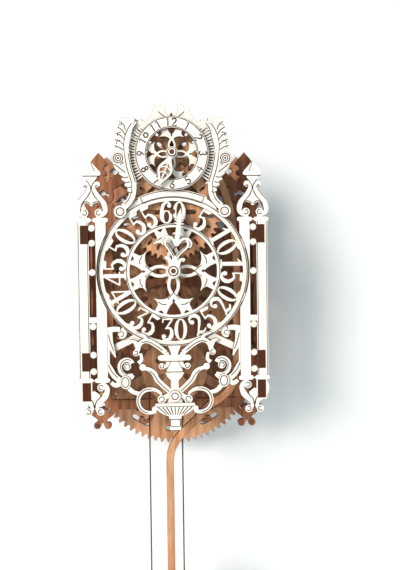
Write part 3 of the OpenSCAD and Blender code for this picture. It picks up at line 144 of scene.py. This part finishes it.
def newGroup(name, inputs, outputs):
    tree = bpy.data.node_groups.new(name, "ShaderNodeTree")
    for label, kind, value in inputs:
        socket = tree.interface.new_socket(label, in_out="INPUT", socket_type=kind)
        socket.default_value = value
    for label, kind in outputs:
        tree.interface.new_socket(label, in_out="OUTPUT", socket_type=kind)
    return tree, tree.nodes.new("NodeGroupInput").outputs, tree.nodes.new("NodeGroupOutput").inputs


# One ply, its glue line, and how far behind the face an engraved line starts and ends, in metres
veneerSheet = {
    "ply": 0.00068,
    "glueLine": (0.00015, 0.00055),
    "lineTop": (0.00012, 0.0002),
    "lineFloor": (0.0006, 0.0008),
}


# Birch plywood cut by a laser: a pale veneer face with fine grain, dark burnt edges with the plies
# just visible in them, and engraved lines burnt into the face; the edge colour is darkened past the char as
# painted shade
def makePlywoodGroup():
    tree, given, out = newGroup("laserPlywood", [
        ("Face", "NodeSocketColor", (0.9, 0.8, 0.66, 1)),
        ("Warm", "NodeSocketColor", (0.78, 0.62, 0.42, 1)),
        ("Burnt And Shade", "NodeSocketColor", (0.02, 0.004, 0.002, 1)),
        ("Burnt And Shade Warm", "NodeSocketColor", (0.12, 0.032, 0.011, 1)),
        ("Across", "NodeSocketVector", (0, 1, 0)),
        ("Along Grain", "NodeSocketVector", (60, 60, 4)),
        ("Front", "NodeSocketFloat", 0.0),
        ("Seed", "NodeSocketFloat", 0.0),
        ("Grain", "NodeSocketFloat", 1.0),
        ("Rim", "NodeSocketFloat", 0.0),
    ], [("Color", "NodeSocketColor"), ("Roughness", "NodeSocketFloat"), ("Height", "NodeSocketFloat")])
    place = node(tree, "ShaderNodeTexCoord")
    position = place.outputs["Object"]
    seeded = node(tree, "ShaderNodeVectorMath", operation="ADD", i0_=position, i1_=given["Seed"]).outputs[0]
    grain = stretched(tree, seeded, given["Along Grain"])
    facing = along(tree, place.outputs["Normal"], given["Across"])
    depth = along(tree, position, given["Across"])
    edge = remap(tree, math_(tree, "ABSOLUTE", facing), 0.55, 0.85, 1.0, 0.0)

    # veneer: broad tone, long fibres, short pores
    cloud = noise(tree, grain, 0.55, 4.0, Roughness=0.55)
    fibre = noise(tree, grain, 7.0, 5.0, Roughness=0.62, Distortion=0.25)
    rings = node(tree, "ShaderNodeTexWave", wave_type="BANDS", bands_direction="X", Vector=grain,
        Scale=0.5, Distortion=5.0, Detail=3.0, Detail_Scale_=0.8).outputs["Fac"]
    pores = noise(tree, stretched(tree, grain, (1, 1, 0.35)), 26.0, 2.0, Roughness=0.5)
    figure = math_(tree, "ADD", times(tree, fibre, 0.5),
        math_(tree, "ADD", times(tree, cloud, 0.4), times(tree, rings, 0.1)))
    tone = times(tree, remap(tree, figure, 0.34, 0.66), given["Grain"])
    pore = remap(tree, pores, 0.62, 0.72)
    poreColor = mix(tree, 0.5, given["Warm"], given["Burnt And Shade Warm"])
    veneer = mix(tree, times(tree, pore, times(tree, given["Grain"], 0.22)),
        mix(tree, tone, given["Face"], given["Warm"]), poreColor)

    # burnt edge, its near-black colour partly painted shade round each part: plies as faint stripes across
    # the sheet, soot in patches
    plies = node(tree, "ShaderNodeMath", operation="PINGPONG", i0_=depth, i1_=veneerSheet["ply"]).outputs[0]
    plyTone = remap(tree, plies, *veneerSheet["glueLine"])
    soot = noise(tree, seeded, 140.0, 3.0, Roughness=0.6)
    char = math_(tree, "ADD", times(tree, plyTone, 0.55), times(tree, soot, 0.5), clamp=True)
    burntAndShadeTone = mix(tree, char, given["Burnt And Shade"], given["Burnt And Shade Warm"])

    # engraved lines lie a little behind the front face
    below = math_(tree, "SUBTRACT", depth, given["Front"])
    line = times(tree, remap(tree, below, *veneerSheet["lineTop"]),
        remap(tree, below, *veneerSheet["lineFloor"], 1.0, 0.0))
    # rim strip: partly scorch halo, partly painted shade at each edge
    rim = remap(tree, given["Rim"], 0.1, 0.75, 0.0, 0.9)
    burnAndShade = math_(tree, "MAXIMUM", math_(tree, "MAXIMUM", edge, line), rim)
    # dark edges, lines and rim strip: real char, darkened as painted shade
    tree.links.new(mix(tree, burnAndShade, veneer, burntAndShadeTone), out["Color"])
    tree.links.new(remap(tree, burnAndShade, 0, 1, 0.62, 0.85), out["Roughness"])
    height = math_(tree, "ADD", times(tree, fibre, 0.6), times(tree, pore, -0.4))
    tree.links.new(math_(tree, "ADD", height, times(tree, plyTone, edge)), out["Height"])
    return tree


# Dowel rod and small parts, dark brown all over; the dark tone is partly painted shade for the hub's centre
# hole
def makeDowelGroup():
    tree, given, out = newGroup("darkDowelHoleShade", [
        ("Pale", "NodeSocketColor", (0.24, 0.09, 0.04, 1)),
        ("Dark", "NodeSocketColor", (0.08, 0.024, 0.012, 1)),
        ("Along Grain", "NodeSocketVector", (90, 9, 90)),
    ], [("Color", "NodeSocketColor"), ("Roughness", "NodeSocketFloat"), ("Height", "NodeSocketFloat")])
    position = node(tree, "ShaderNodeTexCoord").outputs["Object"]
    fibre = noise(tree, stretched(tree, position, given["Along Grain"]), 12.0, 5.0, Roughness=0.65)
    scorch = noise(tree, position, 70.0, 3.0)
    tone = math_(tree, "ADD", remap(tree, fibre, 0.35, 0.7, 0.0, 0.6),
        remap(tree, scorch, 0.3, 0.7, 0.0, 0.4))
    tree.links.new(mix(tree, tone, given["Dark"], given["Pale"]), out["Color"])
    tree.links.new(remap(tree, scorch, 0.3, 0.7, 0.5, 0.7), out["Roughness"])
    tree.links.new(fibre, out["Height"])
    return tree


def material(name, group, bump=0.25, distance=0.0002, specular=0.25, **inputs):
    made = bpy.data.materials.new(name)
    made.use_nodes = True
    tree = made.node_tree
    shader = tree.nodes["Principled BSDF"]
    source = tree.nodes.new("ShaderNodeGroup")
    source.node_tree = group
    for key, value in inputs.items():
        source.inputs[key.replace("_", " ")].default_value = value
    tree.links.new(source.outputs["Color"], shader.inputs["Base Color"])
    tree.links.new(source.outputs["Roughness"], shader.inputs["Roughness"])
    shader.inputs["Specular IOR Level"].default_value = specular
    if "Rim" in source.inputs:
        rim = tree.nodes.new("ShaderNodeAttribute")
        rim.attribute_name = "rim"
        tree.links.new(rim.outputs["Fac"], source.inputs["Rim"])
    relief = tree.nodes.new("ShaderNodeBump")
    relief.inputs["Strength"].default_value = bump
    relief.inputs["Distance"].default_value = distance
    tree.links.new(source.outputs["Height"], relief.inputs["Height"])
    tree.links.new(relief.outputs["Normal"], shader.inputs["Normal"])
    return made


# Which sheets lie which way, and how light or warm each one is; the wheel, inner and back tones are darker,
# warmer copies of the same birch as the front, painted shade for the parts that lie behind the facade
sheets = {
    "facade": {"nodes": "hour_dial column_left column_right scroll_panel ornament_left ornament_right",
        "tone": "front", "across": "y"},
    "dial": {"nodes": "dial_plate", "tone": "front", "across": "y"},
    "bosses": {"nodes": "panel_bosses", "tone": "front", "across": "y"},
    "minuteHand": {"nodes": "minute_hand", "tone": "front", "across": "y"},
    "hourHand": {"nodes": "hour_hand", "tone": "front", "across": "y"},
    "pegs": {"nodes": "facade_pegs minute_cap hour_cap", "tone": "front", "across": "y"},
    "bobFace": {"nodes": "bob_face", "tone": "front", "across": "y"},
    "midPlate": {"nodes": "mid_plate", "tone": "inner", "across": "y"},
    "wallPlate": {"nodes": "wall_plate", "tone": "back", "across": "y"},
    "greatWheel": {"nodes": "great_wheel drum_flange_front drum_flange_rear drum ratchet_wheel click",
        "tone": "wheel", "across": "y"},
    "wheels": {"nodes": "centre_wheel centre_pinion motion_pinion intermediate_wheel hour_wheel third_wheel"
        " fourth_wheel escape_wheel anchor", "tone": "wheel", "across": "y"},
    "pendulum": {"nodes": "pendulum_rod bob sheave pulley_strap", "tone": "wheel", "across": "y"},
    "sides": {"nodes": "side_front_left side_front_right side_rear_left side_rear_right", "tone": "inner",
        "across": "x"},
    "locks": {"nodes": "side_locks", "tone": "lock", "across": "x"},
    "decks": {"nodes": "top_deck", "tone": "inner", "across": "z"},
    "turned": {"nodes": "weight_can bob_nut", "tone": "wheel", "across": "z"},
}
tones = {
    "front": {"Face": (0.93, 0.885, 0.82, 1), "Warm": (0.87, 0.79, 0.68, 1), "Grain": 0.8},
    # wheel, inner and back: the front birch darkened and warmed as painted shade
    "wheel": {"Face": (0.74, 0.4, 0.22, 1), "Warm": (0.48, 0.2, 0.09, 1), "Grain": 1.0},
    "inner": {"Face": (0.42, 0.17, 0.08, 1), "Warm": (0.2, 0.062, 0.026, 1), "Grain": 1.0},
    "back": {"Face": (0.56, 0.27, 0.145, 1), "Warm": (0.36, 0.145, 0.07, 1), "Grain": 1.0},
    "lock": {"Face": (0.16, 0.028, 0.014, 1), "Warm": (0.045, 0.01, 0.006, 1), "Grain": 1.0},
}
directions = {"x": (1, 0, 0), "y": (0, 1, 0), "z": (0, 0, 1)}
grains = {"x": (60, 60, 5), "y": (60, 60, 5), "z": (5, 60, 60)}
seedStep = 0.37


def paint(obj, made):
    if not obj.material_slots:
        obj.data.materials.append(made)
    for slot in obj.material_slots:
        slot.material = made


plywood = makePlywoodGroup()
for k, (name, sheet) in enumerate(sheets.items()):
    members = sheet["nodes"].split()
    way = sheet["across"]
    made = material(name + "Birch", plywood, Across=directions[way], Along_Grain=grains[way],
        Front=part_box(members[0])[0]["xyz".index(way)], Seed=seedStep * k, **tones[sheet["tone"]])
    for member in members:
        paint(nodes[member], made)
painted = " ".join(sheet["nodes"] for sheet in sheets.values()).split()
# dark dowel tone, partly painted shade for the hub's centre hole
scorched = material("darkDowelHoleShade", makeDowelGroup(), bump=0.3)
for name, slot in slots.items():
    if slot == "dowel" and name not in painted:
        paint(nodes[name], scorched)
print("wood painted")

# Round every outline a copy of the sheet gets a thin inset strip painted dark: partly the laser's scorch
# halo, partly painted shade along the edges
rims = {
    # width of the dark strip, widened so that it also paints the soft shade at each edge
    "width": 0.00042,
    "weld": 1e-6,
    "tries": 12,
    "halvings": 5,
    "front": "dial_plate hour_dial column_left column_right scroll_panel ornament_left ornament_right"
        " panel_bosses minute_hand hour_hand bob_face",
    "inner": "mid_plate wall_plate great_wheel intermediate_wheel hour_wheel centre_wheel third_wheel"
        " fourth_wheel escape_wheel anchor pendulum_rod",
}


def addRim(name):
    source = nodes[name]
    bm = bmesh.new()
    bm.from_mesh(source.data)
    layer = bm.verts.layers.float.new("rim")
    bmesh.ops.remove_doubles(bm, verts=bm.verts, dist=rims["weld"])
    levels = {}
    for f in bm.faces:
        if f.normal.y < -0.99:
            levels.setdefault(round(f.calc_center_median().y, 5), []).append(f)
    flat = max(levels.values(), key=lambda faces: sum(f.calc_area() for f in faces))
    bmesh.ops.inset_region(bm, faces=flat, thickness=rims["width"], use_boundary=True,
        use_even_offset=False)
    inner = {v for f in flat for v in f.verts}
    home = {v: e.other_vert(v) for v in inner for e in v.link_edges if e.other_vert(v) not in inner}
    # where the strip would fold a small face over, it is drawn back to the outline
    for attempt in range(rims["tries"]):
        folded = []
        for f in flat:
            f.normal_update()
            if f.normal.y > -0.9:
                folded.append(f)
        if not folded:
            break
        for v in {v for f in folded for v in f.verts if v in home}:
            v.co = v.co.lerp(home[v].co, 0.5) if attempt < rims["halvings"] else home[v].co
    for v in bm.verts:
        v[layer] = 0.0 if v in inner else 1.0
    piece = finishPiece(name + "Cut", bm, source.material_slots[0].material, False)
    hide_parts(name)
    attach(piece, bodyOf[name])


bodyOf = {n: body for body, members in record["behaviour"]["bodies"].items() for n in members}


# Cord: three strands laid together
def makeCordGroup():
    tree, given, out = newGroup("laidCord", [
        ("Dark", "NodeSocketColor", (0.03, 0.018, 0.012, 1)),
        ("Light", "NodeSocketColor", (0.14, 0.09, 0.06, 1)),
    ], [("Color", "NodeSocketColor"), ("Roughness", "NodeSocketFloat"), ("Height", "NodeSocketFloat")])
    position = node(tree, "ShaderNodeTexCoord").outputs["Object"]
    fuzz = noise(tree, position, 2600.0, 4.0, Roughness=0.7)
    wear = noise(tree, position, 160.0, 2.0)
    tone = times(tree, remap(tree, fuzz, 0.3, 0.75), remap(tree, wear, 0.2, 0.8, 0.4, 1.0))
    tree.links.new(mix(tree, tone, given["Dark"], given["Light"]), out["Color"])
    tree.links.new(remap(tree, fuzz, 0.2, 0.8, 0.75, 0.95), out["Roughness"])
    tree.links.new(fuzz, out["Height"])
    return tree


# Strands, their lay and shape; steps round the pulley and the drum; the gap between turns on the drum
cordLay = {
    "strands": 3,
    "lay": 0.0052,
    "sides": 7,
    "perTurn": 9,
    "spread": 0.5,
    "swell": 1.12,
    "pulleySteps": 24,
    "drumSteps": 64,
    "gap": 0.00015,
    "drumShare": 0.99,
}
cordFibre = material("cordFibre", makeCordGroup(), bump=0.5, distance=0.0001, specular=0.1)


def finishPiece(name, bm, made, smooth=True):
    if smooth:
        bmesh.ops.recalc_face_normals(bm, faces=bm.faces)
    mesh = bpy.data.meshes.new(name)
    bm.to_mesh(mesh)
    bm.free()
    mesh.polygons.foreach_set("use_smooth", [smooth] * len(mesh.polygons))
    obj = bpy.data.objects.new(name, mesh)
    bpy.context.scene.collection.objects.link(obj)
    obj.data.materials.append(made)
    return obj


for name in (rims["front"] + " " + rims["inner"]).split():
    addRim(name)
# the rim strips are partly scorch, partly painted shade
print("rims scorched")


# Points at equal steps along a polyline
def resample(path, step):
    lengths = [0]
    for a, b in zip(path, path[1:]):
        lengths.append(lengths[-1] + (b - a).length)
    count = max(2, round(lengths[-1] / step))
    points, i = [], 0
    for k in range(count + 1):
        s = lengths[-1] * k / count
        while i < len(path) - 2 and lengths[i + 1] < s:
            i += 1
        t = (s - lengths[i]) / (lengths[i + 1] - lengths[i])
        points.append(path[i].lerp(path[i + 1], t))
    return points


# A closed tube along points; reference fixes where its first side is
def tube(bm, points, radius, sides, reference):
    rings = []
    for i, p in enumerate(points):
        ahead = (points[min(i + 1, len(points) - 1)] - points[max(i - 1, 0)]).normalized()
        side = reference.cross(ahead).normalized()
        up = ahead.cross(side)
        rings.append([bm.verts.new(p + radius * (math.cos(a) * side + math.sin(a) * up))
            for a in (2 * math.pi * k / sides for k in range(sides))])
    for a, b in zip(rings, rings[1:]):
        for k in range(sides):
            bm.faces.new((a[k], a[(k + 1) % sides], b[(k + 1) % sides], b[k]))
    bm.faces.new(rings[0])
    bm.faces.new(rings[-1])


# A cord of twisted strands along a path that stays square to the across direction
def laidCord(name, path, diameter, across):
    c = cordLay
    points = resample(path, c["lay"] / c["perTurn"])
    strand = diameter / 2 / (1 + c["spread"]) * c["swell"]
    offset = diameter / 2 - strand
    bm = bmesh.new()
    for s in range(c["strands"]):
        line = []
        for i, p in enumerate(points):
            ahead = (points[min(i + 1, len(points) - 1)] - points[max(i - 1, 0)]).normalized()
            side = across.cross(ahead).normalized()
            turn = 2 * math.pi * (i / c["perTurn"] + s / c["strands"])
            line.append(p + offset * (math.cos(turn) * across + math.sin(turn) * side))
        tube(bm, line, strand, c["sides"], across)
    return finishPiece(name, bm, cordFibre)


across = Vector((0, 1, 0))
leftLow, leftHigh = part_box("cord_left")
rightLow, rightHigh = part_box("cord_right")
cordWidth = leftHigh.x - leftLow.x
cordY = (leftLow.y + leftHigh.y) / 2
leftX = (leftLow.x + leftHigh.x) / 2
rightX = (rightLow.x + rightHigh.x) / 2
sheaveX = (leftX + rightX) / 2
loopR = (rightX - leftX) / 2
bends = cordLay["pulleySteps"]
route = [Vector((leftX, cordY, leftHigh.z))]
route += [Vector((sheaveX - loopR * math.cos(a), cordY, leftLow.z - loopR * math.sin(a)))
    for a in (math.pi * k / bends for k in range(bends + 1))]
route.append(Vector((rightX, cordY, rightHigh.z)))
drivingCord = laidCord("drivingCord", route, cordWidth, across)
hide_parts("cord_left", "cord_right", "cord_loop")
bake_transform(drivingCord)

windLow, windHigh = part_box("drum_cord")
windR = (windHigh.x - windLow.x) / 2 - cordWidth / 2
windZ = (windHigh.z + windLow.z) / 2
turns = round((windHigh.y - windLow.y) / (cordWidth + cordLay["gap"]))
pitch = (windHigh.y - windLow.y - cordWidth) / (turns - 1)
winding = []
for k in range(cordLay["drumSteps"] * (turns - 1) + 1):
    turned = k / cordLay["drumSteps"]
    a = math.pi + 2 * math.pi * turned
    winding.append(Vector((windR * math.cos(a), windHigh.y - cordWidth / 2 - pitch * turned,
        windZ + windR * math.sin(a))))
drumWinding = laidCord("drumWinding", winding, cordWidth * cordLay["drumShare"], across)
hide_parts("drum_cord")
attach(drumWinding, "great_train")
print("cord laid")

# Wall behind the clock, the floor and the lights
studio = {
    "wall": (0.96, 0.965, 0.97, 1),
    "wallDim": (0.93, 0.935, 0.94, 1),
    "wallGap": 0.0004,
    "openWithin": 0.002,
    "wallSize": 3.0,
    "floor": -1.1,
    "floorSize": 5.0,
    "worldTint": (0.7, 0.93, 1.0, 1),
    "world": 0.37,
    "keyPlace": (-2.3, -3.1, 1.1),
    "keySize": 1.8,
    "key": 155,
    "keyTint": (1.0, 0.95, 0.9),
    "fillPlace": (0.3, -2.0, -0.5),
    "fillSize": 1.4,
    "backPlace": (0.9, 1.8, 0.4),
    "backSize": 1.2,
    "back": 45,
    "fill": 4,
    "softTint": (1, 0.97, 0.93),
}
bm = bmesh.new()
wallPlace = Matrix.Translation((0, wallFace + studio["wallGap"], hub.z))
bmesh.ops.create_grid(bm, x_segments=1, y_segments=1, size=studio["wallSize"] / 2,
    matrix=wallPlace @ Matrix.Rotation(math.pi / 2, 4, "X"))
paper = bpy.data.materials.new("wallPaper")
paper.use_nodes = True
paperTree = paper.node_tree
grit = noise(paperTree, node(paperTree, "ShaderNodeTexCoord").outputs["Object"], 300.0, 2.0)
matt = paperTree.nodes["Principled BSDF"]
paperTree.links.new(mix(paperTree, grit, studio["wall"], studio["wallDim"]), matt.inputs["Base Color"])
matt.inputs["Roughness"].default_value = 0.95
matt.inputs["Specular IOR Level"].default_value = 0.1
# the wall is open to a view from behind, and to light for the back plate that lies on it
rayLength = node(paperTree, "ShaderNodeLightPath").outputs["Ray Length"]
against = math_(paperTree, "LESS_THAN", rayLength, studio["openWithin"])
fromBehind = node(paperTree, "ShaderNodeNewGeometry").outputs["Backfacing"]
seeThrough = node(paperTree, "ShaderNodeMixShader", i0_=math_(paperTree, "MAXIMUM", against, fromBehind),
    i1_=matt.outputs[0], i2_=node(paperTree, "ShaderNodeBsdfTransparent").outputs[0])
paperTree.links.new(seeThrough.outputs[0], paperTree.nodes["Material Output"].inputs["Surface"])
finishPiece("wall", bm, paper, False)

bm = bmesh.new()
bmesh.ops.create_grid(bm, x_segments=1, y_segments=1, size=studio["floorSize"] / 2,
    matrix=Matrix.Translation((0, 0, studio["floor"])))
finishPiece("floor", bm, paper, False)

world = bpy.data.worlds.new("studio")
world.use_nodes = True
world.node_tree.nodes["Background"].inputs["Color"].default_value = studio["worldTint"]
world.node_tree.nodes["Background"].inputs["Strength"].default_value = studio["world"]
bpy.context.scene.world = world


def areaLight(name, place, size, power, tint):
    lamp = bpy.data.lights.new(name, "AREA")
    lamp.shape = "DISK"
    lamp.size = size
    lamp.energy = power
    lamp.color = tint
    obj = bpy.data.objects.new(name, lamp)
    bpy.context.scene.collection.objects.link(obj)
    obj.location = place
    obj.rotation_euler = (Vector((0, facade, hub.z)) - Vector(place)).to_track_quat("-Z", "Y").to_euler()


areaLight("keyLight", studio["keyPlace"], studio["keySize"], studio["key"], studio["keyTint"])
areaLight("fillLight", studio["fillPlace"], studio["fillSize"], studio["fill"], studio["softTint"])
areaLight("backLight", studio["backPlace"], studio["backSize"], studio["back"], studio["softTint"])
print("studio lit")
